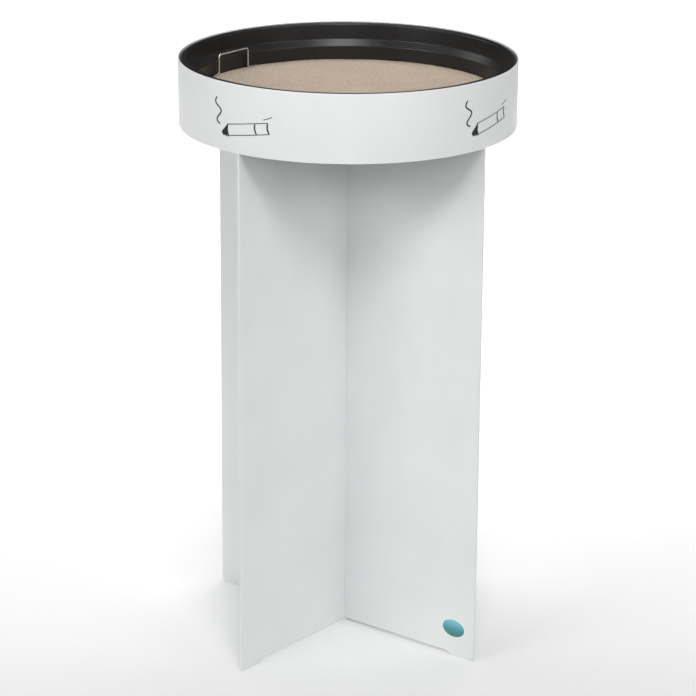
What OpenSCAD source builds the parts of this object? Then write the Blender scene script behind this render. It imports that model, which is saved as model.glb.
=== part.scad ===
// Standing sand ashtray: two slotted steel panels, a rolled steel collar,
// a plastic bowl that lifts out, and a wire sieve that lies under the sand.
// +Z is up, the origin is on the floor at the middle of the cross,
// panel X lies along the X axis and panel Y along the Y axis.

/* [Overall] */
// Height from the floor to the collar's top edge
stand_h = 720; // [500:5:900]
// Outer diameter of the collar and width of the panels
collar_d = 400; // [300:5:500]

/* [Collar] */
// Height of the collar band
collar_h = 80; // [70:1:120]
// Thickness of the collar sheet
collar_wall = 1.5; // [1:0.1:2.5]

/* [Panels] */
// Thickness of the panel sheet
panel_t = 2.5; // [2:0.1:5]
// Clearance between a slot and the panel in it, each side
slot_gap = 0.1; // [0.05:0.05:0.4]
// How far the tongues stand up inside the collar
tongue_h = 17; // [12:1:24]
// Clearance between a tongue's end and the collar
tongue_gap = 0.2; // [0.1:0.05:0.5]
// Length of each foot pad along the panel
foot_l = 34; // [15:1:60]
// Run of the slope from each foot pad's inner end up to the gap
foot_slope = 5; // [2:0.5:10]
// Height of the gap under the panel between its feet
foot_h = 4; // [2:0.5:10]
// Radius of a foot's outer corner
foot_corner_r = 5; // [2:0.5:10]

/* [Welds] */
// Leg of each fillet weld
weld_leg = 3; // [2:0.5:4]
// Length of each weld at the collar
collar_weld_l = 12; // [8:1:12]
// Length of each weld at the middle of the cross
cross_weld_l = 30; // [15:1:50]
// How far the bead of the collar's seam stands in
seam_bead = 1; // [0.5:0.1:1.2]

/* [Bowl] */
// Clearance between the bowl's rim and the collar
bowl_gap = 1.5; // [1:0.1:3]
// Thickness of the bowl's wall and floor
bowl_wall = 2.5; // [2:0.1:4]
// How far the bowl's rim lies below the collar's top edge
rim_drop = 0.5; // [0:0.5:4]
// Width of the rolled rim
rim_w = 7.5; // [6:0.5:12]
// Height of the rolled rim
rim_h = 9; // [7:0.5:14]
// Depth of the upper wall, from the rim's top to the ledge
ledge_depth = 20; // [15:0.5:22]
// Height of the sloping ledge
ledge_h = 8; // [5:0.5:10]
// How far the ledge steps in
ledge_w = 4.5; // [3:0.5:8]
// How far each of the two walls leans in on its way down
wall_draft = 1.5; // [0.5:0.1:3]
// Inner radius between the wall and the floor
floor_r = 6; // [4:0.5:8]

/* [Sand and sieve] */
// Depth of the sand surface below the collar's top edge
sand_depth = 45; // [38:0.5:46]
// Clearance around the sand
sand_gap = 0.4; // [0.2:0.1:1]
// Diameter of the sieve's frame wire
frame_wire_d = 3; // [2:0.1:4]
// Clearance between the frame wire and the bowl's wall
frame_gap = 1.4; // [1:0.1:3]
// Clearance under the sieve
sieve_gap = 0.3; // [0.2:0.1:1]
// Diameter of the mesh wires
mesh_wire_d = 1.6; // [1:0.1:2]
// Distance between mesh wires
mesh_pitch = 9; // [6:0.5:14]
// Number of upright wires between base ring and rim wire
stay_count = 12; // [8:1:16]
// Clearance around each wire that the sand covers
wire_gap = 0.3; // [0.2:0.1:0.5]

/* [Handles] */
// Diameter of the handle wire
handle_wire_d = 2.4; // [2:0.1:3]
// Width of a handle between the middles of its legs
handle_w = 54; // [40:1:80]
// Height of a handle above the sand, to the middle of its bar
handle_h = 25; // [18:1:30]
// Bend radius of the handle's upper corners
handle_bend_r = 4; // [3:0.5:8]
// Length of each foot that is welded on the rim wire
handle_foot_l = 12; // [8:1:14]

/* [Pictograms] */
// Width of each smoking sign
sign_w = 82; // [50:1:90]
// Height of each smoking sign
sign_h = 46; // [30:1:50]
// Line weight of the signs
sign_line = 1.8; // [0.8:0.1:2]
// How far each sign is turned, its butt end up
sign_tilt = 9; // [0:1:15]
// Distance of each sign's middle from the middle of the panel's edge below it, along the collar
sign_shift = 5; // [0:1:20]
// Height of each sign's middle over the middle of the collar
sign_lift = 4; // [0:1:12]
// Thickness of the vinyl
vinyl_t = 0.2; // [0.1:0.05:0.4]

/* [Label] */
// Width of the oval label
label_w = 35; // [20:1:40]
// Height of the oval label
label_h = 24; // [16:1:30]
// Thickness of the label
label_t = 1; // [0.5:0.1:2]
// Distance of the label's middle from the panel's outer edge
label_edge = 30; // [22:1:50]
// Height of the label's middle above the floor
label_z = 36; // [25:1:60]

/* [Hidden] */
$fn = 96;

white = [0.90, 0.91, 0.91];
black = [0.06, 0.06, 0.06];
sand = [0.74, 0.67, 0.61];
steel = [0.78, 0.78, 0.80];
teal = [0.10, 0.55, 0.55];

collar_r = collar_d / 2;
collar_in_r = collar_r - collar_wall;
shoulder_z = stand_h - collar_h;
tongue_z = shoulder_z + tongue_h;
tongue_end = sqrt(pow(collar_in_r, 2) - pow(panel_t / 2, 2)) - tongue_gap;
slot_w = panel_t + 2 * slot_gap;
slot_mid_z = (tongue_z + foot_h) / 2;

// The bowl stands on the tongues.
bowl_h = stand_h - rim_drop - tongue_z;
rim_r = collar_in_r - bowl_gap;
mouth_r = rim_r - rim_w;
ledge_top_r = mouth_r - wall_draft;
ledge_in_r = ledge_top_r - ledge_w;
floor_z = tongue_z + bowl_wall;
rim_top_z = tongue_z + bowl_h;
ledge_top_z = rim_top_z - ledge_depth;
ledge_low_z = ledge_top_z - ledge_h;
base_r = ledge_in_r - wall_draft;

// Radius of the lower wall's inner face at height z.
function wall_r(z) = base_r + wall_draft * (z - floor_z) / (ledge_low_z - floor_z);

// The sieve lies on the bowl's floor and the sand lies on its mesh.
sand_z = stand_h - sand_depth;
frame_r = wall_r(floor_z + floor_r) - frame_gap - frame_wire_d / 2;
// The base ring lies in the round corner between floor and wall.
corner_run = frame_r - (base_r - floor_r);
corner_reach = floor_r - frame_wire_d / 2 - sieve_gap;
base_wire_z = floor_z + floor_r - sqrt(max(0, pow(corner_reach, 2) - pow(corner_run, 2)));
mesh_x_z = base_wire_z - mesh_wire_d / 2;
mesh_y_z = base_wire_z + mesh_wire_d / 2;
sand_low_z = mesh_y_z + mesh_wire_d / 2;
rim_wire_z = sand_z - frame_wire_d / 2;
mesh_r = frame_r - frame_wire_d / 2;
mesh_side = floor(mesh_r / mesh_pitch - 0.25);

// The handle's feet lie on the rim wire.
handle_foot_z = sand_z + handle_wire_d / 2;
handle_foot_bend_r = handle_wire_d;
handle_angle = asin(handle_w / 2 / frame_r);
handle_x = frame_r * cos(handle_angle);
handle_top_z = sand_z + handle_h;

function arc(x, y, r, from, to, steps) = [
    for (i = [0:steps])
        let (a = from + (to - from) * i / steps)
        [x + r * cos(a), y + r * sin(a)]
];

function direction(p, i) =
    let (v = p[min(i + 1, len(p) - 1)] - p[max(i - 1, 0)])
    v / norm(v);

// Outline of a line of width w through the points p, with its ends drawn in to half the width.
function side_point(p, i, w) =
    let (v = direction(p, i), end = (i == 0 || i == len(p) - 1) ? 0.5 : 1)
    p[i] + [-v[1], v[0]] * w / 2 * end;
function line_outline(p, w) = concat(
    [for (i = [0:len(p) - 1]) side_point(p, i, w)],
    [for (i = [len(p) - 1:-1:0]) side_point(p, i, -w)]
);

// ---- Stand ----

// One panel in the XY plane, standing up along Y.
module panel_outline() {
    gap_half = collar_r - foot_l;
    difference() {
        translate([-collar_r, 0]) square([collar_d, shoulder_z]);
        polygon([
            [-gap_half, -1], [-gap_half, 0], [foot_slope - gap_half, foot_h],
            [gap_half - foot_slope, foot_h], [gap_half, 0], [gap_half, -1]
        ]);
        for (side = [-1, 1])
            scale([side, 1]) translate([collar_r, 0]) foot_corner_waste();
    }
    translate([-tongue_end, shoulder_z]) square([2 * tongue_end, tongue_h]);
}

// What is cut away outside the round corner of a foot.
module foot_corner_waste() {
    difference() {
        translate([-foot_corner_r, -1]) square([foot_corner_r + 1, foot_corner_r + 1]);
        translate([-foot_corner_r, foot_corner_r]) circle(r = foot_corner_r);
    }
}

module stand_panel(slot_low, slot_high) {
    rotate([90, 0, 0]) translate([0, 0, -panel_t / 2])
        linear_extrude(panel_t)
            difference() {
                panel_outline();
                translate([-slot_w / 2, slot_low]) square([slot_w, slot_high - slot_low]);
            }
}

module stand_panel_x() {
    color(white) stand_panel(slot_mid_z, tongue_z + 1);
}

module stand_panel_y() {
    color(white) rotate([0, 0, 90]) stand_panel(-1, slot_mid_z);
}

// Three-cornered bead along Z, with its right angle on the Z axis.
module fillet_weld(length) {
    linear_extrude(length) polygon([[0, 0], [weld_leg, 0], [0, weld_leg]]);
}

module cross_welds() {
    color(white)
        for (quarter = [0:3])
            rotate([0, 0, quarter * 90])
                translate([panel_t / 2, panel_t / 2, shoulder_z - cross_weld_l])
                    fillet_weld(cross_weld_l);
}

// ---- Collar ----

module collar_band() {
    color(white) translate([0, 0, shoulder_z])
        difference() {
            cylinder(r = collar_r, h = collar_h);
            translate([0, 0, -1]) cylinder(r = collar_in_r, h = collar_h + 2);
        }
}

// The weld bead that closes the band, ground flush outside.
module collar_seam() {
    seam_h = collar_h - rim_drop - rim_h - bowl_gap;
    flat_x = sqrt(pow(collar_in_r, 2) - pow(seam_bead, 2));
    color(white) rotate([0, 0, 45]) translate([flat_x, 0, shoulder_z])
        intersection() {
            cylinder(r = seam_bead, h = seam_h, $fn = 32);
            translate([-2 * seam_bead, -seam_bead, 0]) cube([2 * seam_bead, 2 * seam_bead, seam_h]);
        }
}

module collar_welds() {
    corner_x = sqrt(pow(collar_in_r, 2) - pow(panel_t / 2 + weld_leg, 2));
    color(white)
        for (quarter = [0:3], side = [-1, 1])
            rotate([0, 0, quarter * 90]) scale([1, side, 1])
                translate([corner_x, panel_t / 2, tongue_z - collar_weld_l])
                    rotate([0, 0, 90]) fillet_weld(collar_weld_l);
}

// ---- Bowl ----

// Section from the middle of the floor, out along the inside, over the rim and back below.
module bowl_section() {
    rim_in_r = rim_h / 3;
    rim_out_r = rim_h / 4;
    outer_floor_r = floor_r + bowl_wall;
    polygon(concat(
        [[0, floor_z]],
        arc(base_r - floor_r, floor_z + floor_r, floor_r, -90, 0, 8),
        [[ledge_in_r, ledge_low_z], [ledge_top_r, ledge_top_z]],
        arc(mouth_r + rim_in_r, rim_top_z - rim_in_r, rim_in_r, 180, 90, 6),
        arc(rim_r - rim_out_r, rim_top_z - rim_out_r, rim_out_r, 90, 0, 6),
        [[rim_r, rim_top_z - rim_h], [rim_r - bowl_wall, rim_top_z - rim_h]],
        [[rim_r - bowl_wall, rim_top_z - rim_in_r - bowl_wall]],
        [[mouth_r + bowl_wall, rim_top_z - rim_in_r - bowl_wall]],
        [[ledge_top_r + bowl_wall, ledge_top_z - bowl_wall / 2]],
        [[ledge_in_r + bowl_wall, ledge_low_z - bowl_wall / 2]],
        arc(base_r - floor_r, tongue_z + outer_floor_r, outer_floor_r, 0, -90, 8),
        [[0, tongue_z]]
    ));
}

module ash_bowl() {
    color(black) rotate_extrude() bowl_section();
}

// ---- Sieve ----

module wire_ring(z) {
    translate([0, 0, z])
        rotate_extrude() translate([frame_r, 0]) circle(d = frame_wire_d, $fn = 32);
}

module sieve_rim_wire() {
    color(steel) wire_ring(rim_wire_z);
}

module sieve_base_ring() {
    color(steel) wire_ring(base_wire_z);
}

module sieve_stays() {
    stay_low = base_wire_z + frame_wire_d / 2;
    stay_high = rim_wire_z - frame_wire_d / 2;
    color(steel)
        for (i = [0:stay_count - 1])
            rotate([0, 0, (i + 0.5) * 360 / stay_count])
                translate([frame_r, 0, stay_low])
                    cylinder(d = frame_wire_d, h = stay_high - stay_low, $fn = 32);
}

// Parallel wires along X that end at the base ring.
module mesh_layer(z) {
    for (i = [-mesh_side:mesh_side]) {
        y = i * mesh_pitch;
        half = sqrt(pow(mesh_r, 2) - pow(abs(y) + mesh_wire_d / 2, 2));
        translate([-half, y, z])
            rotate([0, 90, 0]) cylinder(d = mesh_wire_d, h = 2 * half, $fn = 24);
    }
}

module sieve_mesh_x() {
    color(steel) mesh_layer(mesh_x_z);
}

module sieve_mesh_y() {
    color(steel) rotate([0, 0, 90]) mesh_layer(mesh_y_z);
}

// Route of half a handle along the rim wire, as distance from its middle and height:
// bar, upper bend, leg, lower bend and foot.
function handle_route() = let (side = handle_w / 2, foot = handle_foot_bend_r) concat(
    arc(side - handle_bend_r, handle_top_z - handle_bend_r, handle_bend_r, 90, 0, 6),
    arc(side + foot, handle_foot_z + foot, foot, 180, 270, 4),
    [for (i = [1:3]) [side + foot + handle_foot_l * i / 3, handle_foot_z]]
);

// The bar and the bends are flat, and the feet follow the round rim wire.
function handle_point(run, z) =
    let (past = max(0, run - handle_w / 2), a = handle_angle + past / frame_r * 180 / PI)
    run < handle_w / 2 ? [handle_x, run, z] : [frame_r * cos(a), frame_r * sin(a), z];

function mirrored(p) = [for (i = [len(p) - 1:-1:0]) [p[i].x, -p[i].y, p[i].z]];

// Round wire along the points p, which all lie about as far from the Z axis.
module wire_along(p, d, sides) {
    rings = len(p);
    points = [
        for (i = [0:rings - 1])
            let (
                t = direction(p, i),
                out = [p[i].x, p[i].y, 0],
                a = (out - (out * t) * t) / norm(out - (out * t) * t),
                b = cross(t, a)
            )
            for (k = [0:sides - 1]) p[i] + d / 2 * (cos(k * 360 / sides) * a + sin(k * 360 / sides) * b)
    ];
    faces = concat(
        [[for (k = [0:sides - 1]) sides - 1 - k]],
        [[for (k = [0:sides - 1]) (rings - 1) * sides + k]],
        [
            for (i = [0:rings - 2], k = [0:sides - 1])
                let (here = i * sides + k, beside = i * sides + (k + 1) % sides)
                each [[here, beside, beside + sides], [here, beside + sides, here + sides]]
        ]
    );
    polyhedron(points, [for (f = faces) [for (k = [len(f) - 1:-1:0]) f[k]]], convexity = 6);
}

module sieve_handle(azimuth) {
    half = [for (q = handle_route()) handle_point(q.x, q.y)];
    color(steel) rotate([0, 0, azimuth]) wire_along(concat(mirrored(half), half), handle_wire_d, 12);
}

module sieve_handle_left() {
    sieve_handle(180);
}

module sieve_handle_right() {
    sieve_handle(0);
}

// ---- Sand ----

// Lies on the mesh and closes around the rim wire and the stays.
module sand_fill() {
    groove_w = frame_wire_d + 2 * wire_gap;
    hole_low = base_wire_z;
    color(sand)
        difference() {
            rotate_extrude() polygon([
                [0, sand_low_z],
                [frame_r - frame_wire_d, sand_low_z],
                [wall_r(floor_z + floor_r) - sand_gap, floor_z + floor_r + frame_wire_d],
                [wall_r(sand_z) - sand_gap, sand_z],
                [0, sand_z]
            ]);
            translate([0, 0, rim_wire_z - frame_wire_d / 2 - wire_gap])
                difference() {
                    cylinder(r = frame_r + groove_w / 2, h = sand_depth);
                    translate([0, 0, -1]) cylinder(r = frame_r - groove_w / 2, h = sand_depth + 2);
                }
            for (i = [0:stay_count - 1])
                rotate([0, 0, (i + 0.5) * 360 / stay_count])
                    translate([frame_r, 0, hole_low]) cylinder(d = groove_w, h = sand_depth, $fn = 32);
        }
}

// ---- Signs ----

// A burning cigarette with a curl of smoke, around the origin and sign_w wide.
module sign_outline() {
    left = -sign_w / 2;
    low = -sign_h / 2;
    body_h = 0.32 * sign_h;
    body_from = left + 0.22 * sign_w;
    body_to = left + 0.92 * sign_w;
    filter_x = left + 0.72 * sign_w;
    tip_to = left + 0.10 * sign_w;
    smoke_x = left + 0.08 * sign_w;
    smoke_low = low + 0.32 * sign_h;
    smoke_h = 0.68 * sign_h;
    smoke_steps = 30;
    bow = 0.02 * sign_w;

    // Paper: upper edge, lower edge, filter seam and butt end.
    polygon(line_outline([[body_from, low + body_h], [body_to, low + body_h]], sign_line));
    polygon(line_outline([[body_from, low + sign_line], [body_to, low + sign_line]], sign_line));
    for (x = [filter_x, body_to])
        polygon(line_outline([
            for (i = [0:6])
                [x - bow * sin(i * 30), low + sign_line + (body_h - sign_line) * i / 6]
        ], sign_line));

    // Ash: short strokes that narrow towards the tip.
    for (i = [0:3]) {
        x = body_from + (tip_to - body_from) * i / 4;
        half = body_h * (0.5 - 0.09 * i);
        middle = low + body_h * (0.52 - 0.05 * i);
        polygon(line_outline([[x, middle - half], [x - bow, middle], [x + bow / 2, middle + half]],
            sign_line * 1.7));
    }

    // Smoke: one and a half waves that widen on the way up.
    polygon(line_outline([
        for (i = [0:smoke_steps])
            let (s = i / smoke_steps)
            [smoke_x + 0.06 * sign_w * sin(540 * s + 180) * (1 - 0.3 * s), smoke_low + smoke_h * s]
    ], sign_line));

    // Small dash over the butt end.
    polygon(line_outline([
        [body_to - 0.06 * sign_w, low + 1.25 * body_h],
        [body_to + 0.08 * sign_w, low + 1.42 * body_h]
    ], sign_line));
}

// The sign as thin vinyl on the collar, facing out at the azimuth.
module collar_sign(azimuth) {
    middle_z = shoulder_z + collar_h / 2 + sign_lift;
    color(black) rotate([0, 0, azimuth])
        intersection() {
            translate([0, 0, shoulder_z])
                difference() {
                    cylinder(r = collar_r + vinyl_t, h = collar_h);
                    translate([0, 0, -1]) cylinder(r = collar_r, h = collar_h + 2);
                }
            translate([0, 0, middle_z]) rotate([90, 0, 90])
                linear_extrude(collar_r + 1)
                    translate([sign_shift, 0]) rotate(sign_tilt) sign_outline();
        }
}

module sign_right() {
    collar_sign(0);
}

module sign_back() {
    collar_sign(90);
}

module sign_left() {
    collar_sign(180);
}

module sign_front() {
    collar_sign(270);
}

// ---- Label ----

// Oval label on the front face of panel X.
module maker_label() {
    color(teal) translate([collar_r - label_edge, -panel_t / 2, label_z])
        rotate([90, 0, 0]) linear_extrude(label_t)
            scale([1, label_h / label_w]) circle(d = label_w);
}

stand_panel_x();
stand_panel_y();
cross_welds();
collar_band();
collar_seam();
collar_welds();
ash_bowl();
sand_fill();
sieve_rim_wire();
sieve_base_ring();
sieve_stays();
sieve_mesh_x();
sieve_mesh_y();
sieve_handle_left();
sieve_handle_right();
sign_right();
sign_back();
sign_left();
sign_front();
maker_label();
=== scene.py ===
"""Standing sand ashtray: shells, sheets, wires and sand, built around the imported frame.

Laid out as a Blender add-on: the settings hold sizes and colours, each operator makes one piece
or one group of like pieces, and the panel in the sidebar lists the operators.
"""

import math

import bpy
from mathutils import Matrix, Vector, noise


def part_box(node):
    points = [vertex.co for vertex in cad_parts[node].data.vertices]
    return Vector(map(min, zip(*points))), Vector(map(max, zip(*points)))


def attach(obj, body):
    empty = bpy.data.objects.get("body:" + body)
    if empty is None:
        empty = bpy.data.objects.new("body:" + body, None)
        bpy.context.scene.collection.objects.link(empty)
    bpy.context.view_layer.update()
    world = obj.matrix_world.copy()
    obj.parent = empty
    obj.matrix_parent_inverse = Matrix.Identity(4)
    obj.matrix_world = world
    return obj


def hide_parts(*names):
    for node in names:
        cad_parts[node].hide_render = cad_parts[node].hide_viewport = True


bl_info = {
    "name": "Standing Sand Ashtray",
    "version": (1, 0, 0),
    "blender": (4, 5, 0),
    "location": "View3D > Sidebar > Ashtray",
    "description": "Builds a standing sand ashtray in coated steel with a lift-out plastic bowl",
    "category": "Add Mesh",
}

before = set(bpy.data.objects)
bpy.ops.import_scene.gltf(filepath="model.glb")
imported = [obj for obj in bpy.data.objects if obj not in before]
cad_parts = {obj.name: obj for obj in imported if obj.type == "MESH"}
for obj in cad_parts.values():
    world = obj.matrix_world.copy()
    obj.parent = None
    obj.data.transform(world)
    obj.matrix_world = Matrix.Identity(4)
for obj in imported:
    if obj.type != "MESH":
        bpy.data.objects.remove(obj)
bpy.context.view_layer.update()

MM = 0.001
FULL_TURN = 2 * math.pi
WIRE_RESOLUTION = 4

PANEL_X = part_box("stand_panel_x")
PANEL_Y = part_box("stand_panel_y")
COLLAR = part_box("collar_band")
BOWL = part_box("ash_bowl")
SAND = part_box("sand_fill")
RIM_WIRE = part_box("sieve_rim_wire")
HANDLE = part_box("sieve_handle_right")
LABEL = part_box("maker_label")


# ---- Small tools ----


def size_of(box, axis):
    return box[1][axis] - box[0][axis]


def middle_of(box, axis):
    return (box[0][axis] + box[1][axis]) / 2


def linear(colour):
    """Turns an sRGB hex colour such as "#c0ffee" into a linear RGBA tuple."""
    parts = [int(colour[i : i + 2], 16) / 255 for i in (1, 3, 5)]
    return (*(p / 12.92 if p <= 0.04045 else ((p + 0.055) / 1.055) ** 2.4 for p in parts), 1.0)


def deselect_all():
    bpy.ops.object.select_all(action="DESELECT")


def make_active(piece):
    deselect_all()
    piece.select_set(True)
    bpy.context.view_layer.objects.active = piece


def edit(piece):
    make_active(piece)
    bpy.ops.object.mode_set(mode="EDIT")


def leave_edit():
    bpy.ops.object.mode_set(mode="OBJECT")


def name_piece(name):
    piece = bpy.context.object
    piece.name = name
    piece.data.name = name
    return piece


def apply_modifier(piece, kind, **values):
    make_active(piece)
    modifier = piece.modifiers.new(kind.title(), kind)
    for key, value in values.items():
        setattr(modifier, key, value)
    bpy.ops.object.modifier_apply(modifier=modifier.name)


def apply_place(piece):
    """Puts the piece's place into its mesh, so that its object sits at the origin."""
    make_active(piece)
    bpy.ops.object.transform_apply(location=True, rotation=True, scale=True)


def copy_of(piece, name, offset=(0, 0, 0), turn=0):
    """A copy with a mesh of its own, turned about the Z axis and moved by the offset."""
    make_active(piece)
    bpy.ops.object.duplicate()
    copy = name_piece(name)
    copy.location = offset
    copy.rotation_euler.z = turn
    apply_place(copy)
    return copy


def join(pieces, name):
    deselect_all()
    for piece in pieces:
        piece.select_set(True)
    bpy.context.view_layer.objects.active = pieces[0]
    if len(pieces) > 1:
        bpy.ops.object.join()
    return name_piece(name)


def smooth(piece, angle_deg):
    make_active(piece)
    bpy.ops.object.shade_smooth_by_angle(angle=math.radians(angle_deg))


def finish_piece(piece, body, materials, replaced):
    """Gives the piece its materials and ties it to the frame."""
    for material in materials:
        piece.data.materials.append(material)
    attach(piece, body)
    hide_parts(*replaced)


def clad_node(name, material):
    """Gives a node of the frame, whose shape stays as it is, its material."""
    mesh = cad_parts[name].data
    mesh.materials.clear()
    mesh.materials.append(material)


def arc(centre, radius, start_deg, end_deg, steps):
    """Points on an arc in a plane, from one angle to the other."""
    span_deg = end_deg - start_deg
    angles = [math.radians(start_deg + span_deg * i / steps) for i in range(steps + 1)]
    return [(centre[0] + radius * math.cos(a), centre[1] + radius * math.sin(a)) for a in angles]


def rounded(corners, steps=6):
    """An outline through corners (x, y, radius), each corner with a radius turned into an arc."""
    points = []
    for i, (x, y, radius) in enumerate(corners):
        if radius == 0:
            points.append((x, y))
            continue
        here = Vector((x, y))
        before = Vector(corners[i - 1][:2]) - here
        after = Vector(corners[(i + 1) % len(corners)][:2]) - here
        half = before.angle(after) / 2
        reach = radius / math.tan(half)
        start = here + before.normalized() * reach
        end = here + after.normalized() * reach
        inward = before.normalized() + after.normalized()
        middle = here + inward.normalized() * radius / math.sin(half)
        spoke = start - middle
        turn = spoke.angle_signed(end - middle)
        for k in range(steps + 1):
            angle = -turn * k / steps
            points.append(
                (
                    middle.x + spoke.x * math.cos(angle) - spoke.y * math.sin(angle),
                    middle.y + spoke.x * math.sin(angle) + spoke.y * math.cos(angle),
                )
            )
    return points


def draw_path(name, points, closed=False):
    """Draws edges through the points by extruding one vertex from each to the next."""
    deselect_all()
    bpy.ops.mesh.primitive_plane_add(size=MM, location=(0, 0, 0))
    piece = name_piece(name)
    edit(piece)
    bpy.ops.mesh.merge(type="CENTER")
    bpy.ops.transform.translate(value=points[0])
    for start, end in zip(points, points[1:]):
        step = tuple(b - a for a, b in zip(start, end))
        bpy.ops.mesh.extrude_region_move(TRANSFORM_OT_translate={"value": step})
    if closed:
        bpy.ops.mesh.select_all(action="SELECT")
        bpy.ops.mesh.edge_face_add()
        bpy.ops.mesh.delete(type="ONLY_FACE")
    leave_edit()
    return piece


def close_up(piece):
    """Merges doubled points and turns all faces outwards."""
    edit(piece)
    bpy.ops.mesh.select_all(action="SELECT")
    bpy.ops.mesh.remove_doubles(threshold=MM / 100)
    bpy.ops.mesh.normals_make_consistent(inside=False)
    leave_edit()


def turned(name, outline, steps, closed):
    """Turns an outline of (radius, height) points about the Z axis."""
    piece = draw_path(name, [(r, 0, z) for r, z in outline], closed)
    edit(piece)
    bpy.ops.mesh.select_all(action="SELECT")
    bpy.ops.mesh.spin(steps=steps, angle=FULL_TURN, center=(0, 0, 0), axis=(0, 0, 1))
    leave_edit()
    close_up(piece)
    return piece


def wire(name, points, diameter, widths):
    """A round wire through the points, with widths that scale its diameter at each point."""
    piece = draw_path(name, points)
    bpy.ops.object.convert(target="CURVE")
    curve = piece.data
    curve.dimensions = "3D"
    curve.bevel_depth = diameter / 2
    curve.bevel_resolution = WIRE_RESOLUTION
    curve.use_fill_caps = True
    for point, width in zip(curve.splines[0].points, widths):
        point.radius = width
    bpy.ops.object.convert(target="MESH")
    close_up(piece)
    return piece


# ---- Settings ----


class PanelSettings(bpy.types.PropertyGroup):
    """The two slotted sheet steel panels of the cross."""

    thickness: bpy.props.FloatProperty(
        name="Sheet",
        description="Thickness of the sheet",
        default=size_of(PANEL_X, 1),
        unit="LENGTH",
    )
    foot_length: bpy.props.FloatProperty(
        name="Foot length", description="Length of each foot pad", default=34 * MM, unit="LENGTH"
    )
    foot_height: bpy.props.FloatProperty(
        name="Foot height",
        description="Gap under the panel between its feet",
        default=4 * MM,
        unit="LENGTH",
    )
    foot_slope: bpy.props.FloatProperty(
        name="Foot slope",
        description="Run of the slope from foot pad to gap",
        default=5 * MM,
        unit="LENGTH",
    )
    foot_round: bpy.props.FloatProperty(
        name="Foot round",
        description="Radius of a foot's outer corner",
        default=5 * MM,
        unit="LENGTH",
    )
    slot_gap: bpy.props.FloatProperty(
        name="Slot gap",
        description="Clearance in the slot, each side",
        default=0.1 * MM,
        unit="LENGTH",
    )
    tongue_gap: bpy.props.FloatProperty(
        name="Tongue gap",
        description="Clearance between tongue and collar",
        default=0.2 * MM,
        unit="LENGTH",
    )
    edge_round: bpy.props.FloatProperty(
        name="Edge round",
        description="Rounding that the coating gives each edge",
        default=0.5 * MM,
        unit="LENGTH",
    )


class CollarSettings(bpy.types.PropertyGroup):
    """The rolled band on top of the cross."""

    thickness: bpy.props.FloatProperty(
        name="Sheet", description="Thickness of the band", default=1.5 * MM, unit="LENGTH"
    )
    edge_round: bpy.props.FloatProperty(
        name="Edge round",
        description="Rounding of the band's edges",
        default=0.6 * MM,
        unit="LENGTH",
    )
    steps: bpy.props.IntProperty(
        name="Steps", description="Faces around the band", default=288, min=24
    )


class WeldSettings(bpy.types.PropertyGroup):
    """Fillet welds under the coating."""

    leg: bpy.props.FloatProperty(
        name="Leg", description="Leg of a fillet", default=3 * MM, unit="LENGTH"
    )
    ripple: bpy.props.FloatProperty(
        name="Ripple",
        description="Distance between two ripples of a bead",
        default=2.2 * MM,
        unit="LENGTH",
    )
    seam_bead: bpy.props.FloatProperty(
        name="Seam bead",
        description="How far the collar's seam stands in",
        default=1 * MM,
        unit="LENGTH",
    )


class BowlSettings(bpy.types.PropertyGroup):
    """The moulded bowl."""

    wall: bpy.props.FloatProperty(
        name="Wall", description="Wall thickness", default=2.5 * MM, unit="LENGTH"
    )
    rim_width: bpy.props.FloatProperty(
        name="Rim width", description="Width of the rolled rim", default=7.5 * MM, unit="LENGTH"
    )
    rim_height: bpy.props.FloatProperty(
        name="Rim height", description="Height of the rolled rim", default=9 * MM, unit="LENGTH"
    )
    ledge_depth: bpy.props.FloatProperty(
        name="Ledge depth",
        description="From the rim's top to the ledge",
        default=20 * MM,
        unit="LENGTH",
    )
    ledge_height: bpy.props.FloatProperty(
        name="Ledge height",
        description="Height of the sloping ledge",
        default=8 * MM,
        unit="LENGTH",
    )
    ledge_width: bpy.props.FloatProperty(
        name="Ledge width",
        description="How far the ledge steps in",
        default=4.5 * MM,
        unit="LENGTH",
    )
    draft: bpy.props.FloatProperty(
        name="Draft", description="How far each wall leans in", default=1.5 * MM, unit="LENGTH"
    )
    floor_round: bpy.props.FloatProperty(
        name="Floor round",
        description="Radius between wall and floor",
        default=6 * MM,
        unit="LENGTH",
    )
    steps: bpy.props.IntProperty(
        name="Steps", description="Faces around the bowl", default=240, min=24
    )


class SandSettings(bpy.types.PropertyGroup):
    """The sand and its surface."""

    wave: bpy.props.FloatProperty(
        name="Wave",
        description="Height of the surface's slow waves",
        default=0.4 * MM,
        unit="LENGTH",
    )
    wave_length: bpy.props.FloatProperty(
        name="Wave length", description="Width of the slow waves", default=45 * MM, unit="LENGTH"
    )
    lump: bpy.props.FloatProperty(
        name="Lump", description="Height of small lumps", default=0.25 * MM, unit="LENGTH"
    )
    lump_length: bpy.props.FloatProperty(
        name="Lump length", description="Width of small lumps", default=9 * MM, unit="LENGTH"
    )
    bank: bpy.props.FloatProperty(
        name="Bank",
        description="How far the sand banks up at the wall",
        default=0.3 * MM,
        unit="LENGTH",
    )
    rings: bpy.props.IntProperty(
        name="Rings", description="Rings of faces on the surface", default=64, min=8
    )
    steps: bpy.props.IntProperty(
        name="Steps", description="Faces around the surface", default=220, min=24
    )


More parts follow.
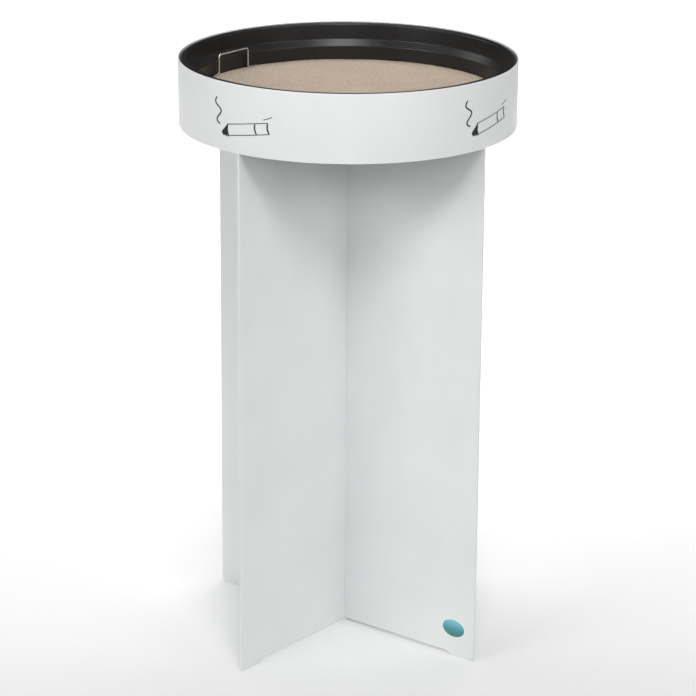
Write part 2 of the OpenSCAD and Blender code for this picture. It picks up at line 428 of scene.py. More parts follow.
class HandleSettings(bpy.types.PropertyGroup):
    """The sieve's two wire handles."""

    wire: bpy.props.FloatProperty(
        name="Wire", description="Wire diameter", default=2.4 * MM, unit="LENGTH"
    )
    width: bpy.props.FloatProperty(
        name="Width", description="Between the middles of the legs", default=54 * MM, unit="LENGTH"
    )
    bend: bpy.props.FloatProperty(
        name="Bend", description="Radius of the upper bends", default=4 * MM, unit="LENGTH"
    )
    foot: bpy.props.FloatProperty(
        name="Foot",
        description="Length of each foot on the rim wire",
        default=12 * MM,
        unit="LENGTH",
    )


class LabelSettings(bpy.types.PropertyGroup):
    """The oval label near a foot."""

    border: bpy.props.FloatProperty(
        name="Border", description="Width of the white border", default=1.4 * MM, unit="LENGTH"
    )
    dome: bpy.props.FloatProperty(
        name="Dome", description="How far the resin domes up", default=0.6 * MM, unit="LENGTH"
    )


class FinishSettings(bpy.types.PropertyGroup):
    """Colours of the finishes, as sRGB hex values."""

    coat: bpy.props.StringProperty(name="Coat", description="Powder coat", default="#e9ebeb")
    coat_shade: bpy.props.StringProperty(
        name="Coat shade", description="Powder coat, thin places", default="#e4e6e6"
    )
    plastic: bpy.props.StringProperty(
        name="Plastic", description="Moulded bowl", default="#0a0a0b"
    )
    wire: bpy.props.StringProperty(name="Wire", description="Zinc plated wire", default="#d8d8d4")
    film: bpy.props.StringProperty(name="Film", description="Black film", default="#17171a")
    print_low: bpy.props.StringProperty(
        name="Print low", description="Foot of the label", default="#06745c"
    )
    print_mid: bpy.props.StringProperty(
        name="Print middle", description="Middle of the label", default="#1f8c9c"
    )
    # Pale head of the label: the print's colour with a painted highlight in it.
    print_high_and_highlight: bpy.props.StringProperty(
        name="Print high", description="Head of the label", default="#7cc3d0"
    )
    border: bpy.props.StringProperty(
        name="Border", description="Border of the label", default="#f2f5f5"
    )


class StageSettings(bpy.types.PropertyGroup):
    """Floor, light and camera."""

    floor: bpy.props.StringProperty(
        name="Floor", description="Colour of the floor", default="#f9f9f9"
    )
    floor_radius: bpy.props.FloatProperty(
        name="Floor radius", description="Radius of the round floor", default=40.0, unit="LENGTH"
    )
    camera_azimuth: bpy.props.FloatProperty(
        name="Azimuth",
        description="Where the camera stands",
        default=math.radians(38.23),
        subtype="ANGLE",
    )
    camera_reach: bpy.props.FloatProperty(
        name="Reach", description="Level distance from the middle", default=3.231, unit="LENGTH"
    )
    camera_height: bpy.props.FloatProperty(
        name="Height",
        description="Height of the lens above the floor",
        default=1.428,
        unit="LENGTH",
    )
    camera_pitch: bpy.props.FloatProperty(
        name="Pitch",
        description="How far the camera looks down",
        default=math.radians(18.32),
        subtype="ANGLE",
    )
    camera_yaw: bpy.props.FloatProperty(
        name="Yaw",
        description="How far the camera looks to the right",
        default=math.radians(0.037),
        subtype="ANGLE",
    )
    camera_roll: bpy.props.FloatProperty(
        name="Roll",
        description="How far the camera leans",
        default=math.radians(0.405),
        subtype="ANGLE",
    )
    lens_mm: bpy.props.FloatProperty(
        name="Lens", description="Focal length in millimetres", default=145.0, unit="CAMERA"
    )


def settings(name):
    return getattr(bpy.context.scene, f"ashtray_{name}")


# ---- Materials ----


def link_inputs(tree, node, links):
    """Links inputs of a node, each to a (node, socket) pair."""
    for key, (source, socket) in links.items():
        tree.links.new(source.outputs[socket], node.inputs[key])


def add_node(tree, kind, inputs=None, links=None, stops=(), **properties):
    """Adds a node with its properties, inputs, links and, on a ramp, (position, colour) stops."""
    node = tree.nodes.new(kind)
    for key, value in properties.items():
        setattr(node, key, value)
    for key, value in (inputs or {}).items():
        node.inputs[key].default_value = value
    link_inputs(tree, node, links or {})
    if stops:
        elements = node.color_ramp.elements
        while len(elements) < len(stops):
            elements.new(0.5)
        for element, (position, colour) in zip(elements, stops):
            element.position = position
            element.color = linear(colour)
    return node


def start_material(name, constants):
    """A material, its node tree, its shader with constants, and the link to Object coordinates."""
    material = bpy.data.materials.new(name)
    material.use_nodes = True
    tree = material.node_tree
    tree.nodes.clear()
    place = add_node(tree, "ShaderNodeTexCoord")
    shader = add_node(tree, "ShaderNodeBsdfPrincipled", constants)
    add_node(tree, "ShaderNodeOutputMaterial", links={"Surface": (shader, "BSDF")})
    return material, tree, shader, {"Vector": (place, "Object")}


def surface_links(colour, gloss, relief):
    """Links of a shader to its colour, roughness and relief."""
    return {
        "Base Color": (colour, "Color"),
        "Roughness": (gloss, "Result"),
        "Normal": (relief, "Normal"),
    }


def powder_coated_steel():
    """Steel sheet under a baked polyester powder coat.

    The eye sees a satin white with a faint orange peel, about 2 mm from crest to crest.
    """
    finish = settings("finish")
    coat, tree, shader, here = start_material("Powder coated steel", {"IOR": 1.5})
    patches = add_node(tree, "ShaderNodeTexNoise", {"Scale": 1 / (90 * MM), "Detail": 3}, here)
    stops = [(0.3, finish.coat_shade), (0.7, finish.coat)]
    colour = add_node(tree, "ShaderNodeValToRGB", links={"Fac": (patches, "Fac")}, stops=stops)
    fine = add_node(tree, "ShaderNodeTexNoise", {"Scale": 1 / (0.7 * MM), "Detail": 2}, here)
    gloss = add_node(
        tree, "ShaderNodeMapRange", {"To Min": 0.36, "To Max": 0.46}, {"Value": (fine, "Fac")}
    )
    peel = add_node(tree, "ShaderNodeTexNoise", {"Scale": 1 / (2.2 * MM), "Detail": 1}, here)
    relief = add_node(
        tree, "ShaderNodeBump", {"Strength": 1, "Distance": 0.05 * MM}, {"Height": (peel, "Fac")}
    )
    link_inputs(tree, shader, surface_links(colour, gloss, relief))
    return coat


def moulded_polypropylene():
    """Black polypropylene moulded in an etched tool.

    The eye sees a dull black with a leather grain of about 1 mm, drawn at 1.5 mm so that it shows.
    """
    plastic, tree, shader, here = start_material("Moulded polypropylene", {"IOR": 1.49})
    cells = add_node(
        tree, "ShaderNodeTexVoronoi", {"Scale": 1 / (1.5 * MM)}, here, feature="SMOOTH_F1"
    )
    pits = add_node(tree, "ShaderNodeTexNoise", {"Scale": 1 / (0.8 * MM), "Detail": 3}, here)
    patches = add_node(tree, "ShaderNodeTexNoise", {"Scale": 1 / (30 * MM), "Detail": 3}, here)
    stops = [(0.3, settings("finish").plastic), (0.75, "#101011")]
    colour = add_node(tree, "ShaderNodeValToRGB", links={"Fac": (patches, "Fac")}, stops=stops)
    gloss = add_node(
        tree, "ShaderNodeMapRange", {"To Min": 0.26, "To Max": 0.42}, {"Value": (pits, "Fac")}
    )
    grain = add_node(
        tree,
        "ShaderNodeBump",
        {"Strength": 1, "Distance": 0.16 * MM},
        {"Height": (cells, "Distance")},
    )
    relief = add_node(
        tree,
        "ShaderNodeBump",
        {"Strength": 1, "Distance": 0.06 * MM},
        {"Height": (pits, "Fac"), "Normal": (grain, "Normal")},
    )
    link_inputs(tree, shader, surface_links(colour, gloss, relief))
    return plastic


def quartz_sand():
    """Washed and dried quartz sand, grains of 0.5 to 1 mm.

    The eye sees a matte beige with single dark and pale grains, drawn at 1.2 mm so that they show.
    """
    sand, tree, shader, here = start_material("Quartz sand", {"IOR": 1.54, "Roughness": 0.92})
    grains = add_node(tree, "ShaderNodeTexVoronoi", {"Scale": 1 / (1.2 * MM)}, here)
    shade = add_node(tree, "ShaderNodeSeparateColor", links={"Color": (grains, "Color")})
    stops = [
        (0.0, "#8f7b69"),
        (0.1, "#aa9785"),
        (0.5, "#bba997"),
        (0.9, "#c8b8a7"),
        (1.0, "#dfd5c8"),
    ]
    single = add_node(tree, "ShaderNodeValToRGB", links={"Fac": (shade, "Red")}, stops=stops)
    damp = add_node(tree, "ShaderNodeTexNoise", {"Scale": 1 / (40 * MM), "Detail": 4}, here)
    stops = [(0.3, "#b3a291"), (0.7, "#c1b09f")]
    patch = add_node(tree, "ShaderNodeValToRGB", links={"Fac": (damp, "Fac")}, stops=stops)
    colour = add_node(
        tree,
        "ShaderNodeMix",
        {"Factor": 0.45},
        {"A": (single, "Color"), "B": (patch, "Color")},
        data_type="RGBA",
    )
    heap = add_node(tree, "ShaderNodeTexNoise", {"Scale": 1 / (5 * MM), "Detail": 4}, here)
    rough = add_node(
        tree, "ShaderNodeBump", {"Strength": 1, "Distance": 0.5 * MM}, {"Height": (heap, "Fac")}
    )
    # The distance grows away from a grain's middle, so the relief is turned over.
    relief = add_node(
        tree,
        "ShaderNodeBump",
        {"Strength": 1, "Distance": -0.35 * MM},
        {"Height": (grains, "Distance"), "Normal": (rough, "Normal")},
    )
    link_inputs(tree, shader, {"Base Color": (colour, "Result"), "Normal": (relief, "Normal")})
    return sand


def zinc_plated_wire():
    """Drawn steel wire with bright zinc plating.

    The eye sees a clean metal gleam, a little cloudy along the wire.
    """
    zinc, tree, shader, here = start_material("Zinc plated wire", {"Metallic": 1})
    cloud = add_node(tree, "ShaderNodeTexNoise", {"Scale": 1 / (3 * MM), "Detail": 3}, here)
    stops = [(0.3, "#bfc0bd"), (0.7, settings("finish").wire)]
    colour = add_node(tree, "ShaderNodeValToRGB", links={"Fac": (cloud, "Fac")}, stops=stops)
    gloss = add_node(
        tree, "ShaderNodeMapRange", {"To Min": 0.16, "To Max": 0.3}, {"Value": (cloud, "Fac")}
    )
    fine = add_node(tree, "ShaderNodeTexNoise", {"Scale": 1 / (0.6 * MM), "Detail": 2}, here)
    relief = add_node(
        tree, "ShaderNodeBump", {"Strength": 1, "Distance": 0.02 * MM}, {"Height": (fine, "Fac")}
    )
    link_inputs(tree, shader, surface_links(colour, gloss, relief))
    return zinc


def plotted_film():
    """Thin black PVC film, cut on a plotter and pressed on.

    The eye sees an even, satin black that follows the coat's orange peel.
    """
    film, tree, shader, here = start_material("Plotted film", {"IOR": 1.5})
    cloud = add_node(tree, "ShaderNodeTexNoise", {"Scale": 1 / (4 * MM), "Detail": 2}, here)
    stops = [(0.3, settings("finish").film), (0.7, "#222226")]
    colour = add_node(tree, "ShaderNodeValToRGB", links={"Fac": (cloud, "Fac")}, stops=stops)
    gloss = add_node(
        tree, "ShaderNodeMapRange", {"To Min": 0.4, "To Max": 0.52}, {"Value": (cloud, "Fac")}
    )
    peel = add_node(tree, "ShaderNodeTexNoise", {"Scale": 1 / (2.2 * MM), "Detail": 1}, here)
    relief = add_node(
        tree, "ShaderNodeBump", {"Strength": 1, "Distance": 0.04 * MM}, {"Height": (peel, "Fac")}
    )
    link_inputs(tree, shader, surface_links(colour, gloss, relief))
    return film


def domed_resin(name, low, mid, high):
    """A print under a drop of clear polyurethane resin.

    The eye sees a glossy dome over print that deepens towards the floor, with a painted highlight
    at the pale head of the teal label.
    """
    constants = {"Roughness": 0.35, "Coat Weight": 1, "Coat Roughness": 0.04, "IOR": 1.5}
    resin, tree, shader, here = start_material(name, constants)
    parts = add_node(tree, "ShaderNodeSeparateXYZ", links=here)
    span = {"From Min": LABEL[0][2], "From Max": LABEL[1][2]}
    height = add_node(tree, "ShaderNodeMapRange", span, {"Value": (parts, "Z")})
    # On the teal label the highest stop is a painted highlight over the print.
    stops = [(0.1, low), (0.45, mid), (0.9, high)]
    colour = add_node(tree, "ShaderNodeValToRGB", links={"Fac": (height, "Result")}, stops=stops)
    link_inputs(tree, shader, {"Base Color": (colour, "Color")})
    return resin


MADE = {}


def shared_material(maker, *values):
    """Makes each material once and hands out the same one after that."""
    key = (maker.__name__, *values)
    if key not in MADE:
        MADE[key] = maker(*values)
    return MADE[key]


# ---- Panels ----


def panel_outline(box, axis, slot_open_above):
    """Outline of a panel as (run, height, corner radius), from its middle all the way round."""
    s = settings("panels")
    half = box[1][axis]
    shoulder = COLLAR[0][2]
    top = box[1][2]
    inner_r = COLLAR[1][0] - settings("collar").thickness
    tongue = math.sqrt(inner_r**2 - (s.thickness / 2) ** 2) - s.tongue_gap
    slot = s.thickness / 2 + s.slot_gap
    slot_end = (top + s.foot_height) / 2
    pad = half - s.foot_length
    shoulder_round = 0.4 * MM
    tongue_round = 1 * MM
    side = [
        (pad - s.foot_slope, s.foot_height, s.foot_slope / 2),
        (pad, 0, s.foot_slope / 2),
        (half, 0, s.foot_round),
        (half, shoulder, shoulder_round),
        (tongue, shoulder, 0),
        (tongue, top, tongue_round),
    ]
    mirrored = [(-run, height, radius) for run, height, radius in reversed(side)]
    if slot_open_above:
        slot_line = [(slot, top, 0), (slot, slot_end, 0), (-slot, slot_end, 0), (-slot, top, 0)]
        return [(0, s.foot_height, 0), *side, *slot_line, *mirrored, (-slot, s.foot_height, 0)]
    ends = [(-slot, s.foot_height, 0), (-slot, slot_end, 0)]
    return [(slot, slot_end, 0), (slot, s.foot_height, 0), *side, (0, top, 0), *mirrored, *ends]


def cut_across(piece, place, normal):
    """In edit mode, cuts all faces of the piece where they cross a plane."""
    bpy.ops.mesh.select_all(action="SELECT")
    bpy.ops.mesh.bisect(plane_co=place, plane_no=normal)


class ASHTRAY_OT_panels(bpy.types.Operator):
    """Adds the two slotted panels"""

    bl_idname = "ashtray.panels"
    bl_label = "Panels"

    def execute(self, context):
        s = settings("panels")
        coat = shared_material(powder_coated_steel)
        for name, node, box, axis in (
            ("panel_x", "stand_panel_x", PANEL_X, 0),
            ("panel_y", "stand_panel_y", PANEL_Y, 1),
        ):
            corners = panel_outline(box, axis, slot_open_above=axis == 0)
            outline = rounded(corners)
            points = [(run, 0, z) if axis == 0 else (0, run, z) for run, z in outline]
            panel = draw_path(name, points)
            edit(panel)
            bpy.ops.mesh.select_all(action="SELECT")
            bpy.ops.mesh.edge_face_add()
            # Cuts through the corners of the slot and the steps split each side into simple faces.
            runs = sorted({round(run, 6) for run, _, radius in corners if radius == 0})
            heights = sorted({round(z, 6) for _, z, radius in corners if radius == 0})
            for run in runs:
                cut_across(panel, (run, run, 0), (1 - axis, axis, 0))
            for height in heights:
                cut_across(panel, (0, 0, height), (0, 0, 1))
            leave_edit()
            apply_modifier(panel, "SOLIDIFY", thickness=s.thickness, offset=0)
            apply_modifier(
                panel,
                "BEVEL",
                width=s.edge_round,
                segments=3,
                limit_method="ANGLE",
                angle_limit=math.radians(50),
            )
            close_up(panel)
            smooth(panel, angle_deg=35)
            apply_modifier(panel, "WEIGHTED_NORMAL", weight=100, keep_sharp=True)
            finish_piece(panel, "stand", [coat], [node])
        return {"FINISHED"}


# ---- Collar ----


class ASHTRAY_OT_collar(bpy.types.Operator):
    """Adds the rolled collar"""

    bl_idname = "ashtray.collar"
    bl_label = "Collar"

    def execute(self, context):
        s = settings("collar")
        outer = COLLAR[1][0]
        inner = outer - s.thickness
        low, high = COLLAR[0][2], COLLAR[1][2]
        middle = (low + high) / 2
        edge = s.edge_round
        section = rounded(
            [
                (inner, middle, 0),
                (inner, low, edge),
                (outer, low, edge),
                (outer, high, edge),
                (inner, high, edge),
                (inner, middle + edge, 0),
            ]
        )
        band = turned("collar_sheet", section, s.steps, closed=True)
        smooth(band, angle_deg=60)
        coat = shared_material(powder_coated_steel)
        finish_piece(band, "stand", [coat], ["collar_band"])
        return {"FINISHED"}


# ---- Welds ----


# Points along a bead for each ripple, how far it swells there, and its first two and last two
# widths, as shares of its diameter.
BEAD_POINTS = 4
BEAD_SWELL = 0.08
BEAD_END_WIDTHS = (0.45, 0.85)
# How far a bead's middle stands off both sheets, as a share of the fillet's leg.
BEAD_INSET = 0.35
# Width of a stitch's bead, as a share of that of the cross's beads.
STITCH_SHARE = 0.9


def weld_bead(name, start, end, diameter):
    """A bead from start to end that swells and narrows with each ripple."""
    ripple = settings("welds").ripple
    length = math.dist(start, end)
    steps = max(6, round(length / ripple) * BEAD_POINTS)
    points = [tuple(a + (b - a) * i / steps for a, b in zip(start, end)) for i in range(steps + 1)]
    turns = [FULL_TURN * i * length / steps / ripple for i in range(steps + 1)]
    widths = [1 + BEAD_SWELL * math.cos(turn) for turn in turns]
    widths[0] = widths[-1] = BEAD_END_WIDTHS[0]
    widths[1] = widths[-2] = BEAD_END_WIDTHS[1]
    return wire(name, points, diameter, widths)


def upright_beads(name, box, places, diameter):
    """One bead as tall as the box, copied to each (x, y) place and joined into one piece."""
    (x, y), *others = places
    first = weld_bead("bead", (x, y, box[0][2]), (x, y, box[1][2]), diameter)
    copies = [copy_of(first, "bead", (to_x - x, to_y - y, 0)) for to_x, to_y in others]
    return join([first, *copies], name)


class ASHTRAY_OT_welds(bpy.types.Operator):
    """Adds the weld beads of the cross and the collar"""

    bl_idname = "ashtray.welds"
    bl_label = "Welds"

    def execute(self, context):
        s = settings("welds")
        coat = shared_material(powder_coated_steel)
        inner_r = COLLAR[1][0] - settings("collar").thickness
        inset = s.leg * BEAD_INSET
        corner = settings("panels").thickness / 2 + inset
        cross_places = [(corner * x, corner * y) for x, y in ((1, 1), (-1, 1), (-1, -1), (1, -1))]
        run = inner_r - inset
        stitch_places = []
        for quarter in range(4):
            angle = quarter * FULL_TURN / 4
            for off in (-corner, corner):
                x = run * math.cos(angle) - off * math.sin(angle)
                y = run * math.sin(angle) + off * math.cos(angle)
                stitch_places.append((x, y))
        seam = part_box("collar_seam")
        seam_places = [(middle_of(seam, 0), middle_of(seam, 1))]
        for name, node, places, diameter in (
            ("cross_beads", "cross_welds", cross_places, s.leg),
            ("collar_beads", "collar_welds", stitch_places, s.leg * STITCH_SHARE),
            ("collar_seam_bead", "collar_seam", seam_places, s.seam_bead * 2),
        ):
            beads = upright_beads(name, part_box(node), places, diameter)
            finish_piece(beads, "stand", [coat], [node])
        return {"FINISHED"}


# ---- Bowl ----


class ASHTRAY_OT_bowl(bpy.types.Operator):
    """Adds the moulded bowl"""

    bl_idname = "ashtray.bowl"
    bl_label = "Bowl"

    def execute(self, context):
        s = settings("bowl")
        rim_r, low, top = BOWL[1][0], BOWL[0][2], BOWL[1][2]
        wall = s.wall
        mouth = rim_r - s.rim_width
        upper = mouth - s.draft
        lower = upper - s.ledge_width
        base = lower - s.draft
        ledge_top = top - s.ledge_depth
        ledge_low = ledge_top - s.ledge_height
        ledge_round = 3 * MM
        lip = 3 * MM
        under = top - lip - wall
        soft = 0.8 * MM
        section = rounded(
            [
                (0, low + wall, 0),
                (base, low + wall, s.floor_round),
                (lower, ledge_low, ledge_round),
                (upper, ledge_top, ledge_round),
                (mouth, top, lip),
                (rim_r, top, lip),
                (rim_r, top - s.rim_height, soft),
                (rim_r - wall, top - s.rim_height, soft),
                (rim_r - wall, under, soft),
                (mouth + wall, under, soft),
                (upper + wall, ledge_top - wall / 2, ledge_round),
                (lower + wall, ledge_low - wall / 2, ledge_round),
                (base + wall, low, s.floor_round + wall),
                (0, low, 0),
            ],
            steps=8,
        )
        bowl = turned("bowl_shell", section, s.steps, closed=False)
        smooth(bowl, angle_deg=60)
        plastic = shared_material(moulded_polypropylene)
        finish_piece(bowl, "bowl", [plastic], ["ash_bowl"])
        return {"FINISHED"}


# ---- Sand ----


# How fast the surface's waves lose height, their steps in size, and how many sizes there are.
SURFACE_NOISE = (1.0, 2.0, 3)
# The outer share of the radius over which the sand banks up, and how the bank curves.
BANK_SHARE = 0.1
BANK_CURVE = 1.5


def surface_lift(x, y):
    """Height of the sand's surface over its mean level, in metres."""
    s = settings("sand")
    wave = noise.fractal(Vector((x, y, 0)) / s.wave_length, *SURFACE_NOISE)
    lump = noise.fractal(Vector((x, y, 1)) / s.lump_length, *SURFACE_NOISE)
    edge = SAND[1][0]
    near = (math.hypot(x, y) - (1 - BANK_SHARE) * edge) / (BANK_SHARE * edge)
    return s.wave * wave + s.lump * lump + s.bank * max(0, min(1, near)) ** BANK_CURVE


class ASHTRAY_OT_sand(bpy.types.Operator):
    """Adds the sand with an uneven surface"""

    bl_idname = "ashtray.sand"
    bl_label = "Sand"

    def execute(self, context):
        s = settings("sand")
        edge, low, top = SAND[1][0], SAND[0][2], SAND[1][2]
        surface = [(edge * i / s.rings, top) for i in range(s.rings + 1)]
        band, draft, corner = 3 * MM, 1 * MM, 5 * MM
        side = [(edge, top - band), (edge - draft, low + band), (edge - corner, low), (0, low)]
        sand = turned("sand_body", surface + side, s.steps, closed=False)
        for vertex in sand.data.vertices:
            if vertex.co.z > top - MM:
                vertex.co.z += surface_lift(vertex.co.x, vertex.co.y)
        smooth(sand, angle_deg=80)
        finish_piece(sand, "sieve", [shared_material(quartz_sand)], ["sand_fill"])
        return {"FINISHED"}


# ---- Sieve ----


# Faces along a handle's upper bend, its foot bend and its foot, and the width of its cut ends.
UPPER_BEND_STEPS = 8
FOOT_BEND_STEPS = 6
FOOT_STEPS = 4
CUT_END_WIDTH = 0.6


def handle_points():
    """Route of the left handle: foot, leg, bar, leg and foot, with its feet along the rim wire."""
    s = settings("handles")
    ring_r = RIM_WIRE[1][0] - size_of(RIM_WIRE, 2) / 2
    half = s.width / 2
    foot_z = HANDLE[0][2] + s.wire / 2
    top_z = HANDLE[1][2] - s.wire / 2
    foot_bend = s.wire
    foot_run = half + foot_bend
    route = arc((half - s.bend, top_z - s.bend), s.bend, 90, 0, UPPER_BEND_STEPS)
    route += arc((foot_run, foot_z + foot_bend), foot_bend, 180, 270, FOOT_BEND_STEPS)
    route += [(foot_run + s.foot * i / FOOT_STEPS, foot_z) for i in range(1, FOOT_STEPS + 1)]
    leg_angle = math.asin(half / ring_r)
    points = []
    for run, z in route:
        if run <= half:
            points.append((-ring_r * math.cos(leg_angle), -run, z))
        else:
            angle = leg_angle + (run - half) / ring_r
            points.append((-ring_r * math.cos(angle), -ring_r * math.sin(angle), z))
    return [(x, -y, z) for x, y, z in reversed(points)] + points


class ASHTRAY_OT_sieve(bpy.types.Operator):
    """Adds the sieve's handles and plates its frame and mesh"""

    bl_idname = "ashtray.sieve"
    bl_label = "Sieve"

    def execute(self, context):
        zinc = shared_material(zinc_plated_wire)
        points = handle_points()
        widths = [CUT_END_WIDTH, *[1.0] * (len(points) - 2), CUT_END_WIDTH]
        left = wire("handle_wire_left", points, settings("handles").wire, widths)
        smooth(left, angle_deg=60)
        right = copy_of(left, "handle_wire_right", turn=FULL_TURN / 2)
        finish_piece(left, "sieve", [zinc], ["sieve_handle_left"])
        finish_piece(right, "sieve", [zinc], ["sieve_handle_right"])
        for part in ("rim_wire", "base_ring", "stays", "mesh_x", "mesh_y"):
            clad_node(f"sieve_{part}", zinc)
        return {"FINISHED"}


# ---- Signs ----


class ASHTRAY_OT_signs(bpy.types.Operator):
    """Gives the four smoking signs their film"""

    bl_idname = "ashtray.signs"
    bl_label = "Signs"

    def execute(self, context):
        for side in ("right", "back", "left", "front"):
            clad_node(f"sign_{side}", shared_material(plotted_film))
        return {"FINISHED"}


# ---- Label ----


class ASHTRAY_OT_label(bpy.types.Operator):
    """Adds the oval domed label"""

    bl_idname = "ashtray.label"
    bl_label = "Label"

    def execute(self, context):
        s = settings("label")
        finish = settings("finish")
        radius, thick = size_of(LABEL, 0) / 2, size_of(LABEL, 1)
        print_r = radius - s.border
        print_rings, border_rings = 14, 4
        rings = [print_r * i / print_rings for i in range(print_rings + 1)]
        rings += [print_r + s.border * i / border_rings for i in range(1, border_rings)]
        outline = [(r, thick - s.dome * (r / radius) ** 2) for r in rings]
        outline += [(radius, thick - s.dome), (radius, 0), (0, 0)]
        label = turned("oval_label", outline, steps=96, closed=False)
        make_active(label)
        label.scale = (1, size_of(LABEL, 2) / size_of(LABEL, 0), 1)
        label.rotation_euler = (math.radians(90), 0, 0)
        label.location = (middle_of(LABEL, 0), LABEL[1][1], middle_of(LABEL, 2))
        apply_place(label)
        smooth(label, angle_deg=50)
        # The print's head colour carries a painted highlight.
        shades = (finish.print_low, finish.print_mid, finish.print_high_and_highlight)
        teal = shared_material(domed_resin, "Domed resin over teal", *shades)
        white = shared_material(domed_resin, "Domed resin over white", *[finish.border] * 3)
        finish_piece(label, "stand", [teal, white], ["maker_label"])
        for face in label.data.polygons:
            run = (face.center.x - middle_of(LABEL, 0)) / size_of(LABEL, 0)
            rise = (face.center.z - middle_of(LABEL, 2)) / size_of(LABEL, 2)
            face.material_index = int(math.hypot(run, rise) > print_r / radius / 2)
        return {"FINISHED"}


# ---- Stage ----


# Each light: name, bearing from the camera's (degrees), reach and height of its place, reach and
# height of its target, width and height of its face (metres), spread of its beam (degrees) and
# power (watts).
LIGHTS = (
    ("overhead_softbox", 6, 2.1, 2.8, 0, 0.65, 0.8, 0.8, 120, 14),
    ("floor_softbox", 180, 2.4, 3.4, 2.5, 0, 3.6, 3.4, 76, 78),
    ("front_floor_softbox", 0, 3.8, 3.6, 3.9, 0, 4.4, 3.4, 80, 24),
    ("left_strip", -54, 3.4, 2.1, 0, 0.68, 2.2, 0.8, 56, 4.6),
    ("front_strip", 4, 3.6, 2.1, 0, 0.68, 2.2, 0.8, 56, 2.2),
    ("right_strip", 50, 3.4, 2.1, 0, 0.68, 1.8, 0.8, 56, 2.2),
    ("left_side", -108, 3.2, 1.8, 0, 0.65, 1.8, 0.6, 56, 1.4),
    ("right_side", 104, 3.2, 1.8, 0, 0.65, 1.8, 0.6, 56, 0.4),
)


def place_light(
    azimuth, name, bearing, reach, height, target_reach, target_height, width, tall, spread, power
):
    """A softbox with a grid that narrows its beam, turned to its target."""
    heading = azimuth + math.radians(bearing)
    way = Vector((math.sin(heading), -math.cos(heading), 0))
    place = way * reach + Vector((0, 0, height))
    target = way * target_reach + Vector((0, 0, target_height))
    deselect_all()
    bpy.ops.object.light_add(type="AREA", location=place)
    light = name_piece(name)
    light.data.shape = "RECTANGLE"
    light.data.size = width
    light.data.size_y = tall
    light.data.spread = math.radians(spread)
    light.data.energy = power
    light.rotation_euler = (target - place).to_track_quat("-Z", "Y").to_euler()


def lay_floor():
    """A round floor of pale paper."""
    s = settings("stage")
    bpy.ops.mesh.primitive_circle_add(vertices=96, radius=s.floor_radius, fill_type="NGON")
    floor = name_piece("studio_floor")
    paper, tree, shader, here = start_material("Studio paper", {"Roughness": 0.9})
    cloud = add_node(tree, "ShaderNodeTexNoise", {"Scale": 1 / (800 * MM), "Detail": 2}, here)
    stops = [(0.3, "#f6f6f6"), (0.7, s.floor)]
    colour = add_node(tree, "ShaderNodeValToRGB", links={"Fac": (cloud, "Fac")}, stops=stops)
    link_inputs(tree, shader, {"Base Color": (colour, "Color")})
    floor.data.materials.append(paper)


def light_walls(azimuth):
    """Pale walls all round, darker above and at the back."""
    world = bpy.data.worlds.new("Studio air")
    world.use_nodes = True
    tree = world.node_tree
    around = add_node(tree, "ShaderNodeTexCoord")
    parts = add_node(tree, "ShaderNodeSeparateXYZ", links={"Vector": (around, "Generated")})
    stops = [(0.1, "#ffffff"), (0.6, "#c0c0c0")]
    walls = add_node(tree, "ShaderNodeValToRGB", links={"Fac": (parts, "Z")}, stops=stops)
    # The wall at the back is left dark, so that the black rim doesn't mirror it.
    back = add_node(
        tree,
        "ShaderNodeVectorMath",
        {1: (-math.sin(azimuth), math.cos(azimuth), 0)},
        {0: (around, "Generated")},
        operation="DOT_PRODUCT",
    )
    strength = add_node(
        tree,
        "ShaderNodeMapRange",
        {"From Min": 0.2, "From Max": 0.8, "To Min": 0.38, "To Max": 0.08},
        {"Value": (back, "Value")},
    )
    air = tree.nodes["Background"]
    link_inputs(tree, air, {"Color": (walls, "Color"), "Strength": (strength, "Result")})
    bpy.context.scene.world = world


def set_up_camera():
    """The camera in front of the ashtray, turned and leaned as the settings say."""
    s = settings("stage")
    azimuth, pitch, reach = s.camera_azimuth, s.camera_pitch, s.camera_reach
    heading = azimuth - s.camera_yaw
    level = math.cos(pitch)
    ahead = Vector((-math.sin(heading) * level, math.cos(heading) * level, -math.sin(pitch)))
    place = (reach * math.sin(azimuth), -reach * math.cos(azimuth), s.camera_height)
    bpy.ops.object.camera_add(location=place)
    camera = bpy.context.object
    camera.name = "studio_camera"
    aim = ahead.to_track_quat("-Z", "Y").to_matrix().to_4x4()
    camera.rotation_euler = (aim @ Matrix.Rotation(s.camera_roll, 4, "Z")).to_euler()
    camera.data.lens = s.lens_mm
    bpy.context.scene.camera = camera


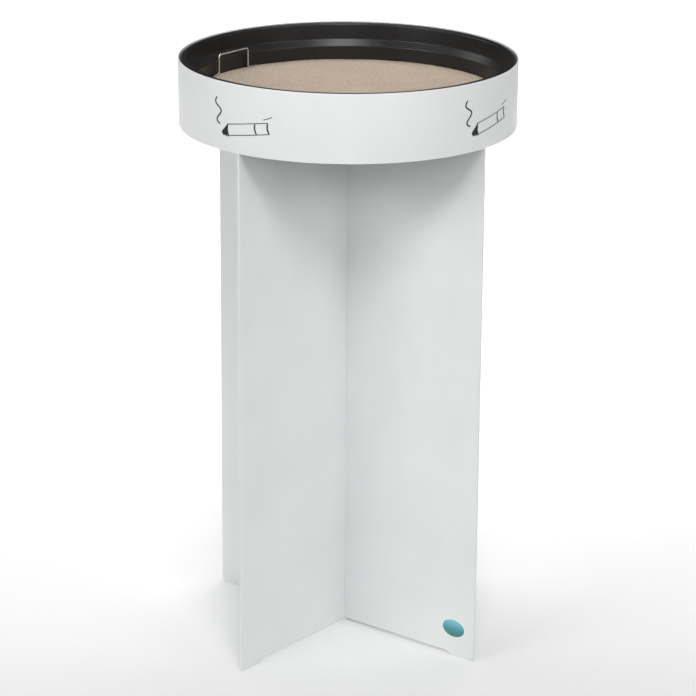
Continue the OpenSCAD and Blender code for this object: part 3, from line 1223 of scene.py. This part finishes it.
class ASHTRAY_OT_stage(bpy.types.Operator):
    """Sets the floor, the lights and the camera"""

    bl_idname = "ashtray.stage"
    bl_label = "Stage"

    def execute(self, context):
        azimuth = settings("stage").camera_azimuth
        lay_floor()
        for light in LIGHTS:
            place_light(azimuth, *light)
        light_walls(azimuth)
        context.scene.view_settings.view_transform = "Standard"
        set_up_camera()
        return {"FINISHED"}


# ---- Add-on ----


class ASHTRAY_PT_sidebar(bpy.types.Panel):
    """Lists the operators in the order in which they run"""

    bl_idname = "ASHTRAY_PT_sidebar"
    bl_label = "Standing Ashtray"
    bl_space_type = "VIEW_3D"
    bl_region_type = "UI"
    bl_category = "Ashtray"

    def draw(self, context):
        for operator in OPERATORS:
            self.layout.operator(operator.bl_idname)


SETTINGS = {
    "panels": PanelSettings,
    "collar": CollarSettings,
    "welds": WeldSettings,
    "bowl": BowlSettings,
    "sand": SandSettings,
    "handles": HandleSettings,
    "label": LabelSettings,
    "finish": FinishSettings,
    "stage": StageSettings,
}
OPERATORS = (
    ASHTRAY_OT_panels,
    ASHTRAY_OT_collar,
    ASHTRAY_OT_welds,
    ASHTRAY_OT_bowl,
    ASHTRAY_OT_sand,
    ASHTRAY_OT_sieve,
    ASHTRAY_OT_signs,
    ASHTRAY_OT_label,
    ASHTRAY_OT_stage,
)


def register():
    for name, group in SETTINGS.items():
        bpy.utils.register_class(group)
        setattr(bpy.types.Scene, f"ashtray_{name}", bpy.props.PointerProperty(type=group))
    for operator in OPERATORS:
        bpy.utils.register_class(operator)
    bpy.utils.register_class(ASHTRAY_PT_sidebar)


def unregister():
    bpy.utils.unregister_class(ASHTRAY_PT_sidebar)
    for operator in reversed(OPERATORS):
        bpy.utils.unregister_class(operator)
    for name, group in SETTINGS.items():
        delattr(bpy.types.Scene, f"ashtray_{name}")
        bpy.utils.unregister_class(group)


def main():
    register()
    for operator in OPERATORS:
        family, name = operator.bl_idname.split(".")
        getattr(getattr(bpy.ops, family), name)()


if __name__ == "__main__":
    main()
